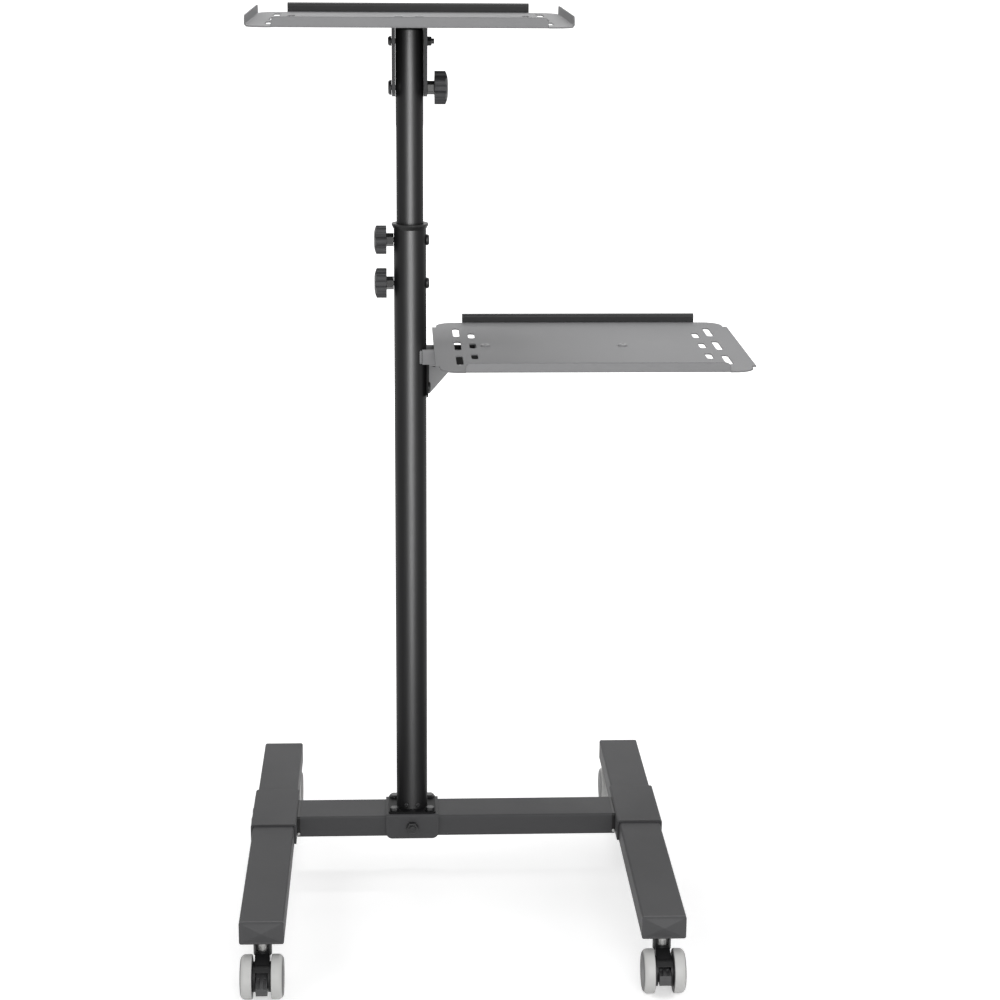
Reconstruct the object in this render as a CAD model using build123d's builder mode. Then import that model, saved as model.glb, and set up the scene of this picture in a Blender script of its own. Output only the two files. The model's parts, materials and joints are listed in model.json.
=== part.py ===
from build123d import *
from math import cos, radians, sin, sqrt
import os

# Audio visual cart: a wheeled H base, an off-centre telescopic mast with two clamp knobs,
# a tilting top tray and a lower shelf tray that stands out to the right.
# Millimetres. X runs to the right, Y away from the front, Z up. Everything is drawn about
# the mast's axis on the floor, and is moved at the end to the bottom centre of the whole.

# Tubes of the base and the mast
foot_width = 50.0
foot_height = 27.0
foot_length = 550.0
foot_spacing = 450.0
bar_width = 56.0
bar_height = 27.0
tube_wall = 1.5
tube_corner = 2.5
mast_wall = 1.5
upper_diameter = 32.0
upper_wall = 1.5
bush_wall = 1.36

# Places of the mast: left of the middle of the crossbar, and short of the feet's rear ends
mast_left_of_middle = 55.0
mast_to_rear_end = 226.0
mast_top = 817.0
upper_clamp_drop = 13.0
clamp_spacing = 51.0
pivot_above_mast = 215.0
tray_above_pivot = 23.0
tilt_bolt_drop = 52.5
ear_below_bolt = 10.0

# Trays
tray_width = 356.0
tray_depth = 300.0
tray_sheet = 1.5
tray_corner = 22.0
side_tab_reach = 5.0
shelf_tray_height = 676.0
shelf_gap = 8.5

# Casters
caster_stem_rise = 14.0
caster_trail = 20.0
wheel_diameter = 50.0
wheel_width = 13.5

# Travel and fits
travel_up = 110.0
travel_rest_gap = 16.0
tilt_limit = 15.0
running_gap = 0.06
sliding_gap = 0.08
fit_gap = 0.2
moving_gap = 0.3
overrun = 4.0

# Threads
m4 = 4.0
m5 = 5.0
m6 = 6.0
m8 = 8.0
m6_flats = 10.0
m8_flats = 13.0
m6_head_height = 4.0
m8_head_height = 5.3
m6_nut_height = 5.0
m8_nut_height = 6.5
hex_chamfer_share = 0.15
dome_edge_share = 0.7
socket_depth_share = 0.6
m4_socket = 2.5
m5_socket = 3.0
m6_socket = 4.0
m8_socket = 5.0

# Collar of the bush in the mast's mouth
bush_collar = 6.5

# Caps and weld nuts in the ends of the feet
cap_face = 2.5
cap_point = 2.5
cap_plug = 7.0
weld_nut_diameter = 18.0
weld_nut_height = 12.0
weld_nut_gap = 1.0

caster_height = wheel_diameter + caster_stem_rise
caster_inset = cap_face + cap_point + cap_plug + weld_nut_gap + weld_nut_diameter / 2
foot_top = caster_height + foot_height
foot_middle = caster_height + foot_height / 2
foot_front = mast_to_rear_end - foot_length
foot_places = {
    "left": mast_left_of_middle - foot_spacing / 2,
    "right": mast_left_of_middle + foot_spacing / 2,
}
side_signs = {"left": -1, "right": 1}
stem_places = {"front": foot_front + caster_inset, "rear": mast_to_rear_end - caster_inset}
upper_radius = upper_diameter / 2
bush_bore = upper_radius + sliding_gap
bush_radius = bush_bore + bush_wall
mast_radius = bush_radius + running_gap + mast_wall
mast_diameter = 2 * mast_radius
upper_clamp_height = mast_top - upper_clamp_drop
lower_clamp_height = upper_clamp_height - clamp_spacing
clamp_heights = {"upper": upper_clamp_height, "lower": lower_clamp_height}
pivot_height = mast_top + pivot_above_mast
tilt_bolt_height = pivot_height - tilt_bolt_drop
top_tray_height = pivot_height + tray_above_pivot
travel_down = tilt_bolt_height - ear_below_bolt - mast_top - bush_collar - travel_rest_gap
shelf_tray_offset = mast_radius + shelf_gap + side_tab_reach + tray_width / 2

nodes = {}


def keep(name, shape):
    """Label a finished piece and keep it under its node's name."""
    shape.label = name
    nodes[name] = shape


def level(x, y, z):
    """A level plane at a point, facing up."""
    return Plane(origin=(x, y, z), x_dir=(1, 0, 0), z_dir=(0, 0, 1))


def underside(x, y, z):
    """A level plane at a point, facing down."""
    return Plane(origin=(x, y, z), x_dir=(1, 0, 0), z_dir=(0, 0, -1))


def facing_side(x, y, z, sign=1):
    """An upright plane at a point, facing right, or left where the sign is negative."""
    return Plane(origin=(x, y, z), x_dir=(0, sign, 0), z_dir=(sign, 0, 0))


def facing_end(x, y, z, sign=-1):
    """An upright plane at a point, facing the front, or the rear where the sign is positive."""
    return Plane(origin=(x, y, z), x_dir=(-sign, 0, 0), z_dir=(0, sign, 0))


def hex_corner(flats):
    """The corner radius of a hexagon from its width across flats."""
    return flats / 2 / cos(radians(30))


def outer_face(builder, seat):
    """The face of the part being built that lies furthest out along a seat's normal."""
    return builder.faces().sort_by(Axis(seat.origin, seat.z_dir))[-1]


def bore(seat, diameter, depth):
    """Cut a round hole back from the seat, in the part being built."""
    with BuildSketch(seat) as outline:
        Circle(diameter / 2)
    extrude(outline.sketch, amount=-depth, mode=Mode.SUBTRACT)


def hex_screw(seat, diameter, length, head_height, flats):
    """A screw whose hexagon head stands on the seat and whose shank runs back from it."""
    with BuildPart() as piece:
        with BuildSketch(seat):
            Circle(diameter / 2)
        extrude(amount=-length)
        with BuildSketch(seat):
            RegularPolygon(hex_corner(flats), 6)
        extrude(amount=head_height)
        chamfer(outer_face(piece, seat).edges(), head_height * hex_chamfer_share)
    return piece.part


def round_screw(seat, diameter, length, head_height, head_diameter, socket=0):
    """A screw with a domed round head, and a hexagon socket where its width is given."""
    with BuildPart() as piece:
        with BuildSketch(seat):
            Circle(diameter / 2)
        extrude(amount=-length)
        with BuildSketch(seat):
            Circle(head_diameter / 2)
        extrude(amount=head_height)
        fillet(outer_face(piece, seat).edges(), head_height * dome_edge_share)
        if socket > 0:
            with BuildSketch(seat.offset(head_height)):
                RegularPolygon(hex_corner(socket), 6)
            extrude(amount=-head_height * socket_depth_share, mode=Mode.SUBTRACT)
    return piece.part


def hex_nut(seat, diameter, height, flats):
    """A hexagon nut that stands on the seat, with a bore for its bolt."""
    with BuildPart() as piece:
        with BuildSketch(seat):
            RegularPolygon(hex_corner(flats), 6)
        extrude(amount=height)
        chamfer(outer_face(piece, seat).edges(), height * hex_chamfer_share)
        bore(seat.offset(height), diameter + 2 * running_gap, height)
    return piece.part


def gather(name, pieces):
    """Keep several separate pieces as one node."""
    with BuildPart() as group:
        add(pieces)
    keep(name, group.part)


# Feet: a rectangular tube each, with a weld nut over each caster hole
saddle_bolt_pitch = 28.0
saddle_bolt_places = (-saddle_bolt_pitch / 2, saddle_bolt_pitch / 2)
stem_diameter = 10.0
foot_tube_start = foot_front + cap_face + cap_point
foot_tube_end = mast_to_rear_end - cap_face - cap_point


def build_foot(x):
    with BuildPart() as foot:
        with BuildSketch(facing_end(x, foot_tube_start, foot_middle, 1)):
            RectangleRounded(foot_width, foot_height, tube_corner)
            RectangleRounded(
                foot_width - 2 * tube_wall,
                foot_height - 2 * tube_wall,
                tube_corner - tube_wall,
                mode=Mode.SUBTRACT,
            )
        extrude(amount=foot_tube_end - foot_tube_start)
        nut_top = tube_wall + weld_nut_height
        for y in stem_places.values():
            with BuildSketch(level(x, y, caster_height + tube_wall)):
                Circle(weld_nut_diameter / 2)
            extrude(amount=weld_nut_height)
            bore(level(x, y, caster_height + nut_top), stem_diameter + 2 * fit_gap, nut_top)
        for y in saddle_bolt_places:
            bore(facing_side(x + foot_width / 2, y, foot_middle), m8 + 2 * fit_gap, foot_width)
    return foot.part


for side, foot_x in foot_places.items():
    keep(f"foot_{side}", build_foot(foot_x))


# Foot caps: a hollow plug in the tube, and a face with four shallow facets
cap_tip_share = 0.04


def build_foot_cap(x, y, sign):
    with BuildPart() as cap:
        face = facing_end(x, y, foot_middle, sign)
        plug_width = foot_width - 2 * (tube_wall + fit_gap)
        plug_height = foot_height - 2 * (tube_wall + fit_gap)
        with BuildSketch(face):
            RectangleRounded(foot_width, foot_height, tube_corner)
        extrude(amount=cap_face)
        with BuildSketch(face):
            RectangleRounded(plug_width, plug_height, tube_corner - tube_wall)
            Rectangle(plug_width - 2 * cap_face, plug_height - 2 * cap_face, mode=Mode.SUBTRACT)
        extrude(amount=-cap_plug)
        with BuildSketch(face.offset(cap_face)):
            Rectangle(foot_width - 2 * tube_corner, foot_height - 2 * tube_corner)
        with BuildSketch(face.offset(cap_face + cap_point)):
            Rectangle(foot_width * cap_tip_share, foot_height * cap_tip_share)
        loft(ruled=True)
    return cap.part


for side, foot_x in foot_places.items():
    keep(f"foot_cap_front_{side}", build_foot_cap(foot_x, foot_tube_start, -1))
    keep(f"foot_cap_rear_{side}", build_foot_cap(foot_x, foot_tube_end, 1))


# Saddles: folded sheet over each foot, where the crossbar's end blocks are bolted
saddle_sheet = 2.5
saddle_bend = 3.0
saddle_length = 112.0
saddle_drop = 26.0
saddle_half = foot_width / 2 + fit_gap + saddle_sheet
saddle_top = foot_top + saddle_sheet


def folded_channel(plane, half_width, drop, sheet, length):
    """A U of sheet, open below, drawn on a plane at the middle of its top's end."""
    with BuildSketch(plane) as section:
        with Locations((0, -drop / 2)):
            Rectangle(2 * half_width, drop)
        with Locations((0, -sheet - drop / 2)):
            Rectangle(2 * (half_width - sheet), drop, mode=Mode.SUBTRACT)
    extrude(section.sketch, amount=length)


def build_saddle(x):
    with BuildPart() as saddle:
        start = facing_end(x, saddle_length / 2, saddle_top)
        folded_channel(start, saddle_half, saddle_drop, saddle_sheet, saddle_length)
        top = saddle.faces().sort_by(Axis.Z)[-1]
        fillet(top.edges().filter_by(Axis.Y), saddle_bend)
        for y in saddle_bolt_places:
            bore(facing_side(x + saddle_half, y, foot_middle), m8 + 2 * fit_gap, 2 * saddle_half)
    return saddle.part


for side, foot_x in foot_places.items():
    keep(f"saddle_{side}", build_saddle(foot_x))


# Crossbar: a tube with a threaded block welded in at each end, which stands out of it
block_reach = 3.5
block_length = 45.0
block_below_bolt = 5.0
block_height = foot_height / 2 - tube_wall + block_below_bolt
block_bolt_reach = 22.0
bar_half_length = foot_spacing / 2 - saddle_half - block_reach
bar_middle = foot_top - bar_height / 2
flange_nut_diameter = 11.0
flange_nut_height = 6.0
flange_pitch_x = 44.0
flange_pitch_y = bar_width - 2 * tube_wall - flange_nut_diameter
flange_margin = 7.0
flange_places = [(x * flange_pitch_x / 2, y * flange_pitch_y / 2) for x in (-1, 1) for y in (-1, 1)]

with BuildPart() as crossbar:
    with BuildSketch(facing_side(mast_left_of_middle - bar_half_length, 0, bar_middle)):
        RectangleRounded(bar_width, bar_height, tube_corner)
        RectangleRounded(
            bar_width - 2 * tube_wall, bar_height - 2 * tube_wall, tube_corner - tube_wall, mode=Mode.SUBTRACT
        )
    extrude(amount=2 * bar_half_length)
    block_middle = foot_top - tube_wall - block_height / 2
    for sign in side_signs.values():
        block_x = mast_left_of_middle + sign * (bar_half_length + block_reach)
        with BuildSketch(facing_side(block_x, 0, block_middle, sign)):
            Rectangle(bar_width - 2 * tube_wall, block_height)
        extrude(amount=-block_length)
        for y in saddle_bolt_places:
            bore(facing_side(block_x, y, foot_middle, sign), m8 + 2 * running_gap, block_bolt_reach + fit_gap)
    for x, y in flange_places:
        with BuildSketch(level(x, y, foot_top - tube_wall)):
            Circle(flange_nut_diameter / 2)
        extrude(amount=-flange_nut_height)
        bore(level(x, y, foot_top), m6 + 2 * running_gap, tube_wall + flange_nut_height)
    bore(facing_end(0, -bar_width / 2, bar_middle), m8 + 2 * fit_gap, bar_width)
keep("crossbar", crossbar.part)


# Saddle bolts: two through each foot, from its outer side into the crossbar's block
saddle_head = 16.0
saddle_head_height = 1.6
saddle_bolt_length = 2 * saddle_half + block_bolt_reach
saddle_bolts = []
for side, foot_x in foot_places.items():
    sign = side_signs[side]
    for y in saddle_bolt_places:
        seat = facing_side(foot_x + sign * saddle_half, y, foot_middle, sign)
        bolt = round_screw(seat, m8, saddle_bolt_length, saddle_head_height, saddle_head, m8_socket)
        saddle_bolts.append(bolt)
gather("saddle_bolts", saddle_bolts)


# Centre saddle: folded sheet over the crossbar, under the mast
centre_saddle_margin = 3.5
centre_saddle_length = flange_pitch_x + 2 * (flange_margin + centre_saddle_margin)
centre_saddle_below = 2.0
centre_saddle_corner = 8.0
centre_half = bar_width / 2 + fit_gap + saddle_sheet
centre_drop = saddle_sheet + bar_height + centre_saddle_below

with BuildPart() as centre_saddle:
    start = facing_side(-centre_saddle_length / 2, 0, saddle_top)
    folded_channel(start, centre_half, centre_drop, saddle_sheet, centre_saddle_length)
    fillet(centre_saddle.faces().sort_by(Axis.Z)[-1].edges().filter_by(Axis.X), saddle_bend)
    fillet(centre_saddle.edges().filter_by(Axis.Y).group_by(Axis.Z)[0], centre_saddle_corner)
    for x, y in flange_places:
        bore(level(x, y, saddle_top), m6 + 2 * fit_gap, saddle_sheet)
    bore(facing_end(0, -centre_half, bar_middle), m8 + 2 * fit_gap, 2 * centre_half)
keep("centre_saddle", centre_saddle.part)


# Centre bolt: through the saddle and the crossbar, with its nut at the front
centre_bolt_end = 2.5
centre_bolt_length = 2 * centre_half + m8_nut_height + centre_bolt_end
centre_bolt_seat = facing_end(0, centre_half, bar_middle, 1)
gather(
    "centre_bolt",
    [
        hex_screw(centre_bolt_seat, m8, centre_bolt_length, m8_head_height, m8_flats),
        hex_nut(facing_end(0, -centre_half, bar_middle), m8, m8_nut_height, m8_flats),
    ],
)


# Mast foot: a flange plate with a spigot inside the lower tube
plate_length = flange_pitch_x + 2 * flange_margin
plate_width = flange_pitch_y + 2 * flange_margin
plate_thickness = 2.5
plate_corner = 4.0
spigot_wall = 3.0
spigot_height = 80.0
tube_screw_rise = 5.0
tube_screw_angle = 21.0
tube_screw_head = 5.5
tube_screw_head_height = 1.6
mast_bottom = saddle_top + plate_thickness
spigot_radius = mast_radius - mast_wall - fit_gap
tube_screw_length = mast_wall + fit_gap + spigot_wall
flange_screw_length = plate_thickness + saddle_sheet + tube_wall + flange_nut_height


def tube_screw_seat(angle):
    """The seat of a screw on the front of the lower tube, turned from the front by an angle."""
    out = Vector(sin(radians(angle)), -cos(radians(angle)), 0)
    place = out * mast_radius + Vector(0, 0, mast_bottom + tube_screw_rise)
    return Plane(origin=place, x_dir=(0, 0, 1), z_dir=out)


tube_screw_seats = [tube_screw_seat(angle) for angle in (-tube_screw_angle, tube_screw_angle)]

with BuildPart() as mast_foot:
    with BuildSketch(level(0, 0, saddle_top)):
        RectangleRounded(plate_length, plate_width, plate_corner)
        with Locations(*flange_places):
            Circle(m6 / 2 + fit_gap, mode=Mode.SUBTRACT)
    extrude(amount=plate_thickness)
    with BuildSketch(level(0, 0, mast_bottom)):
        Circle(spigot_radius)
        Circle(spigot_radius - spigot_wall, mode=Mode.SUBTRACT)
    extrude(amount=spigot_height)
    for seat in tube_screw_seats:
        bore(seat, m4 + 2 * running_gap, tube_screw_length + overrun)
keep("mast_foot", mast_foot.part)

gather(
    "mast_foot_bolts",
    [
        hex_screw(level(x, y, mast_bottom), m6, flange_screw_length, m6_head_height, m6_flats)
        for x, y in flange_places
    ],
)
gather(
    "tube_screws",
    [
        round_screw(seat, m4, tube_screw_length, tube_screw_head_height, tube_screw_head, m4_socket)
        for seat in tube_screw_seats
    ],
)


# Lower tube of the mast, with a hole for the shelf brace's screw
arm_height = 18.0
brace_drop = 40.0
brace_screw_margin = 9.5
arm_bottom = shelf_tray_height - arm_height
brace_screw_height = arm_bottom - brace_drop + brace_screw_margin

with BuildPart() as lower_tube:
    with BuildSketch(level(0, 0, mast_bottom)):
        Circle(mast_radius)
        Circle(mast_radius - mast_wall, mode=Mode.SUBTRACT)
    extrude(amount=mast_top - mast_bottom)
    for z in clamp_heights.values():
        bore(facing_side(mast_radius, 0, z), m6 + 2 * fit_gap, mast_diameter)
    for seat in tube_screw_seats:
        bore(seat, m4 + 2 * fit_gap, mast_wall + overrun)
    bore(facing_side(mast_radius, 0, brace_screw_height), m5 + 2 * running_gap, mast_wall + overrun)
keep("lower_tube", lower_tube.part)


# Bush: a plastic sleeve in the mast's mouth, with a flared collar on top
bush_length = 82.0
bush_flare = 2.4
bush_rim = 2.0

with BuildPart() as tube_bush:
    with BuildSketch(facing_end(0, 0, mast_top)):
        with BuildLine():
            Polyline(
                (bush_bore, -bush_length),
                (bush_radius, -bush_length),
                (bush_radius, 0),
                (mast_radius, 0),
                (mast_radius + bush_flare, bush_collar - bush_rim),
                (mast_radius + bush_flare, bush_collar),
                (bush_bore, bush_collar),
                close=True,
            )
        make_face()
    revolve(axis=Axis.Z)
    for z in clamp_heights.values():
        bore(facing_side(mast_radius, 0, z), m6 + 2 * fit_gap, mast_diameter)
keep("tube_bush", tube_bush.part)


# Upper tube, with a long slot on each side for the clamp bolts
slot_play = 1.0
slot_width = m6 + slot_play
slot_rim = 15.0
bracket_sheet = 4.0
plug_flange = 2.0
tilt_top_gap = 0.4
plug_reach = tray_above_pivot - bracket_sheet - tilt_top_gap - upper_radius * sin(radians(tilt_limit))
tube_above_pivot = plug_reach / cos(radians(tilt_limit)) - plug_flange
upper_top = pivot_height + tube_above_pivot
slot_top = upper_clamp_height + travel_down
slot_bottom = lower_clamp_height - travel_up
upper_bottom = slot_bottom - slot_width / 2 - slot_rim

with BuildPart() as upper_tube:
    with BuildSketch(level(0, 0, upper_bottom)):
        Circle(upper_radius)
        Circle(upper_radius - upper_wall, mode=Mode.SUBTRACT)
    extrude(amount=upper_top - upper_bottom)
    with BuildSketch(facing_side(upper_radius, 0, (slot_top + slot_bottom) / 2)):
        SlotCenterToCenter(slot_top - slot_bottom, slot_width, rotation=90)
    extrude(amount=-upper_diameter, mode=Mode.SUBTRACT)
    for z in (pivot_height, tilt_bolt_height):
        bore(facing_side(upper_radius, 0, z), m6 + 2 * running_gap, upper_diameter)
keep("upper_tube", upper_tube.part)


# Plug in the top of the upper tube
plug_depth = 5.0

with BuildPart() as upper_tube_plug:
    with BuildSketch(level(0, 0, upper_top)):
        Circle(upper_radius)
    extrude(amount=plug_flange)
    fillet(upper_tube_plug.faces().sort_by(Axis.Z)[-1].edges(), plug_flange / 2)
    with BuildSketch(level(0, 0, upper_top)):
        Circle(upper_radius - upper_wall - running_gap)
    extrude(amount=-plug_depth)
keep("upper_tube_plug", upper_tube_plug.part)


# Tilt bracket: folded sheet under the top tray, with an ear on each side of the upper tube
bracket_gap = 0.2
bracket_bend = 6.0
ear_width = 50.0
tray_screw_x = 12.0
tray_screw_y = 35.0
tray_screw_margin = 10.0
bracket_length = 2 * (tray_screw_y + tray_screw_margin)
bracket_half = upper_radius + bracket_gap + bracket_sheet
ear_radius = tilt_bolt_drop + ear_below_bolt
web_rise = top_tray_height - pivot_height
tray_screw_places = [(x * tray_screw_x, y * tray_screw_y) for x in (-1, 1) for y in (-1, 1)]

with BuildPart() as tilt_bracket:
    start = facing_end(0, bracket_length / 2, top_tray_height)
    folded_channel(start, bracket_half, web_rise + ear_radius, bracket_sheet, bracket_length)
    fillet(tilt_bracket.faces().sort_by(Axis.Z)[-1].edges().filter_by(Axis.Y), bracket_bend)
    pivot_plane = facing_side(-bracket_half, 0, pivot_height)
    web_end = bracket_length / 2
    ear_end = ear_width / 2
    ear_end_level = -sqrt(ear_radius**2 - ear_end**2)
    with BuildSketch(pivot_plane):
        with BuildLine():
            Polyline(
                (-ear_end, ear_end_level),
                (-web_end, web_rise - bracket_bend),
                (-web_end, web_rise),
                (web_end, web_rise),
                (web_end, web_rise - bracket_bend),
                (ear_end, ear_end_level),
            )
            ThreePointArc((ear_end, ear_end_level), (0, -ear_radius), (-ear_end, ear_end_level))
        make_face()
    extrude(amount=2 * bracket_half, mode=Mode.INTERSECT)
    slot_half = m6 / 2 + moving_gap
    with BuildSketch(pivot_plane):
        Circle(m6 / 2 + running_gap)
        with BuildLine():
            for sign in (-1, 1):
                turned = -90 + sign * tilt_limit
                end = Vector(cos(radians(turned)), sin(radians(turned))) * tilt_bolt_drop
                CenterArc(end, slot_half, turned, sign * 180)
                CenterArc((0, 0), tilt_bolt_drop + sign * slot_half, -90 - tilt_limit, 2 * tilt_limit)
        make_face()
    extrude(amount=2 * bracket_half, mode=Mode.SUBTRACT)
    for x, y in tray_screw_places:
        bore(level(x, y, top_tray_height), m6 + 2 * running_gap, bracket_sheet)
keep("tilt_bracket", tilt_bracket.part)


# Bolts of the clamps, the tilt lock and the tilt pivot
clamp_head = 12.7
clamp_head_height = 3.5
knob_hub_length = 8.2
knob_bolt_reach = 8.0
tilt_head = 17.0
tilt_head_height = 4.0
pivot_head = 11.0
pivot_head_height = 4.0
pivot_bolt_end = 3.0
ear_seat = bracket_half + moving_gap
clamp_bolt_length = mast_diameter + moving_gap + knob_hub_length + knob_bolt_reach
tilt_bolt_length = 2 * ear_seat + knob_hub_length + knob_bolt_reach
pivot_bolt_length = 2 * ear_seat + m6_nut_height + pivot_bolt_end

gather(
    "clamp_bolts",
    [
        round_screw(facing_side(mast_radius, 0, z), m6, clamp_bolt_length, clamp_head_height, clamp_head)
        for z in clamp_heights.values()
    ],
)
tilt_head_seat = facing_side(-ear_seat, 0, tilt_bolt_height, -1)
gather("tilt_bolt", [round_screw(tilt_head_seat, m6, tilt_bolt_length, tilt_head_height, tilt_head)])
pivot_head_seat = facing_side(-ear_seat, 0, pivot_height, -1)
gather(
    "pivot_bolt",
    [
        round_screw(pivot_head_seat, m6, pivot_bolt_length, pivot_head_height, pivot_head, m6_socket),
        hex_nut(facing_side(ear_seat, 0, pivot_height), m6, m6_nut_height, m6_flats),
    ],
)


# Knobs: six lobes, a domed outer face and a hexagon hub with a flat to the front
clamp_knob_diameter = 35.0
clamp_knob_thickness = 14.4
tilt_knob_diameter = 38.0
tilt_knob_thickness = 15.5
knob_hub_flats = 13.5
hub_turn = 30.0
knob_lobes = 6
lobe_share = 0.27
core_share = 0.78
valley_round_share = 0.1
dome_share = 0.2
dome_flat_share = 0.35
clamp_knob_turns = {"upper": 30.0, "lower": 5.0}
tilt_knob_turn = 0.0


def build_knob(hub_seat, diameter, thickness, turn):
    """A knob whose hub stands on the seat, with a blind bore for the bolt's end."""
    radius = diameter / 2
    with BuildPart() as knob:
        base = hub_seat.offset(knob_hub_length)
        with BuildSketch(base) as lobes:
            Circle(radius * core_share)
            with PolarLocations(radius * (1 - lobe_share), knob_lobes, start_angle=90 + turn):
                Circle(radius * lobe_share)
            fillet(lobes.vertices(), radius * valley_round_share)
        extrude(amount=thickness)
        across = Plane(origin=base.origin, x_dir=base.x_dir, z_dir=-base.y_dir)
        rim = (radius, thickness * (1 - dome_share))
        flat_end = (radius * dome_flat_share, thickness)
        with BuildSketch(across):
            with BuildLine():
                Polyline(flat_end, (0, thickness), (0, 0), (radius, 0), rim)
                TangentArc(flat_end, rim, tangent=(1, 0))
            make_face()
        revolve(axis=Axis(base.origin, base.z_dir), mode=Mode.INTERSECT)
        with BuildSketch(hub_seat):
            RegularPolygon(hex_corner(knob_hub_flats), 6, rotation=hub_turn)
        extrude(amount=knob_hub_length)
        depth = knob_hub_length + knob_bolt_reach + fit_gap
        bore(hub_seat.offset(depth), m6 + 2 * running_gap, depth)
    return knob.part


for position, z in clamp_heights.items():
    hub_seat = facing_side(-mast_radius - moving_gap, 0, z, -1)
    knob = build_knob(hub_seat, clamp_knob_diameter, clamp_knob_thickness, clamp_knob_turns[position])
    keep(f"clamp_knob_{position}", knob)

tilt_hub_seat = facing_side(ear_seat, 0, tilt_bolt_height)
keep("tilt_knob", build_knob(tilt_hub_seat, tilt_knob_diameter, tilt_knob_thickness, tilt_knob_turn))


# Trays: one stamping with strap slots, a front lip and a low back lip under the rail.
# The top tray's side tabs are folded up, and the shelf's side tabs are left flat.
bend_outer = 2.5
bend_inner = bend_outer - tray_sheet
lip_corner = 6.0
front_lip_end_gap = 6.5
front_lip_length = tray_width - 2 * (tray_corner + front_lip_end_gap)
front_lip_height = 11.5
back_lip_height = 9.0
rail_end_gap = 11.0
rail_length = tray_width - 2 * (tray_corner + rail_end_gap)
side_tab_end_gap = 8.0
side_tab_length = tray_depth - 2 * (tray_corner + side_tab_end_gap)
side_lip_height = 11.5
side_lip_reach = 2.0
strap_slot_width = 8.0
outer_slot_inset = 23.5
outer_slot_x = tray_width / 2 - outer_slot_inset
outer_slot_length = 52.0
outer_slot_pitch = 84.0
slot_column_pitch = 18.0
inner_slot_x = outer_slot_x - slot_column_pitch
inner_slot_length = 30.0
inner_slot_pitch = 63.0
shelf_screw_inset = 56.0
shelf_screw_spacing = 163.5
first_shelf_screw = shelf_screw_inset - tray_width / 2
shelf_screw_places = (first_shelf_screw, first_shelf_screw + shelf_screw_spacing)
tray_head = 11.0
tray_head_height = 2.7
tray_seat_depth = 0.5
tray_seat_diameter = tray_head + 2 * fit_gap


def tray_screw(x, y, z, grip):
    """A screw in a tray's coined seat, through the sheet and into what holds it."""
    seat = level(x, y, z + tray_sheet - tray_seat_depth)
    length = tray_sheet - tray_seat_depth + grip
    return round_screw(seat, m6, length, tray_head_height, tray_head, m6_socket)


def folded_lip(middle, inward, length, height):
    """A lip folded up from the sheet, with its outer corner at the middle point."""
    inward = Vector(inward)
    along = inward.cross(Vector(0, 0, 1))
    start = Plane(origin=middle - along * (length / 2), x_dir=inward, z_dir=along)
    with BuildSketch(start) as section:
        with BuildLine():
            Polyline(
                (bend_outer, 0),
                (0, 0),
                (0, height),
                (tray_sheet, height),
                (tray_sheet, tray_sheet),
                (bend_outer, tray_sheet),
                close=True,
            )
        make_face()
        fillet(section.vertices().sort_by_distance((0, 0))[0], bend_outer)
        fillet(section.vertices().sort_by_distance((tray_sheet, tray_sheet))[0], bend_inner)
    extrude(section.sketch, amount=length)


def build_tray(x, z, screw_places, sides_up):
    """A tray whose sheet lies on the height z and whose middle lies at x."""
    half_depth = tray_depth / 2
    lip_x = tray_width / 2 + side_lip_reach
    with BuildPart() as tray:
        with BuildSketch(level(x, 0, z)):
            RectangleRounded(tray_width, tray_depth, tray_corner)
            with Locations((0, bend_outer / 2 - half_depth)):
                Rectangle(front_lip_length, bend_outer, mode=Mode.SUBTRACT)
            with Locations((0, half_depth - bend_outer / 2)):
                Rectangle(rail_length, bend_outer, mode=Mode.SUBTRACT)
            if sides_up:
                with Locations((bend_outer / 2 - lip_x, 0), (lip_x - bend_outer / 2, 0)):
                    Rectangle(bend_outer, side_tab_length, mode=Mode.SUBTRACT)
            else:
                Rectangle(tray_width + 2 * side_tab_reach, side_tab_length)
            for row in (-1, 0, 1):
                for sign in (-1, 1):
                    with Locations((sign * outer_slot_x, row * outer_slot_pitch)):
                        SlotOverall(outer_slot_length, strap_slot_width, rotation=90, mode=Mode.SUBTRACT)
                    with Locations((sign * inner_slot_x, row * inner_slot_pitch)):
                        SlotOverall(inner_slot_length, strap_slot_width, rotation=90, mode=Mode.SUBTRACT)
            with Locations(*screw_places):
                Circle(m6 / 2 + fit_gap, mode=Mode.SUBTRACT)
        extrude(amount=tray_sheet)
        for seat_x, seat_y in screw_places:
            bore(level(x + seat_x, seat_y, z + tray_sheet), tray_seat_diameter, tray_seat_depth)
        folded_lip(Vector(x, -half_depth, z), (0, 1, 0), front_lip_length, front_lip_height)
        folded_lip(Vector(x, half_depth, z), (0, -1, 0), rail_length, back_lip_height)
        if sides_up:
            for sign in (-1, 1):
                folded_lip(Vector(x + sign * lip_x, 0, z), (-sign, 0, 0), side_tab_length, side_lip_height)
        lip_tops = tray.edges().group_by(Axis.Z)[-1]
        fillet([edge for edge in lip_tops if edge.length < 2 * tray_sheet], lip_corner)
    return tray.part


shelf_holes = [(place, 0) for place in shelf_screw_places]
keep("top_tray", build_tray(0, top_tray_height, tray_screw_places, True))
keep("lower_tray", build_tray(shelf_tray_offset, shelf_tray_height, shelf_holes, False))


# Rails: black edging pushed over each tray's back lip
rail_height = 10.4
rail_rise = 2.3
rail_inner_leg = 0.9
rail_outer_leg = 5.4
rail_slit = tray_sheet + 2 * running_gap
rail_thickness = rail_inner_leg + rail_slit + rail_outer_leg


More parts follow.
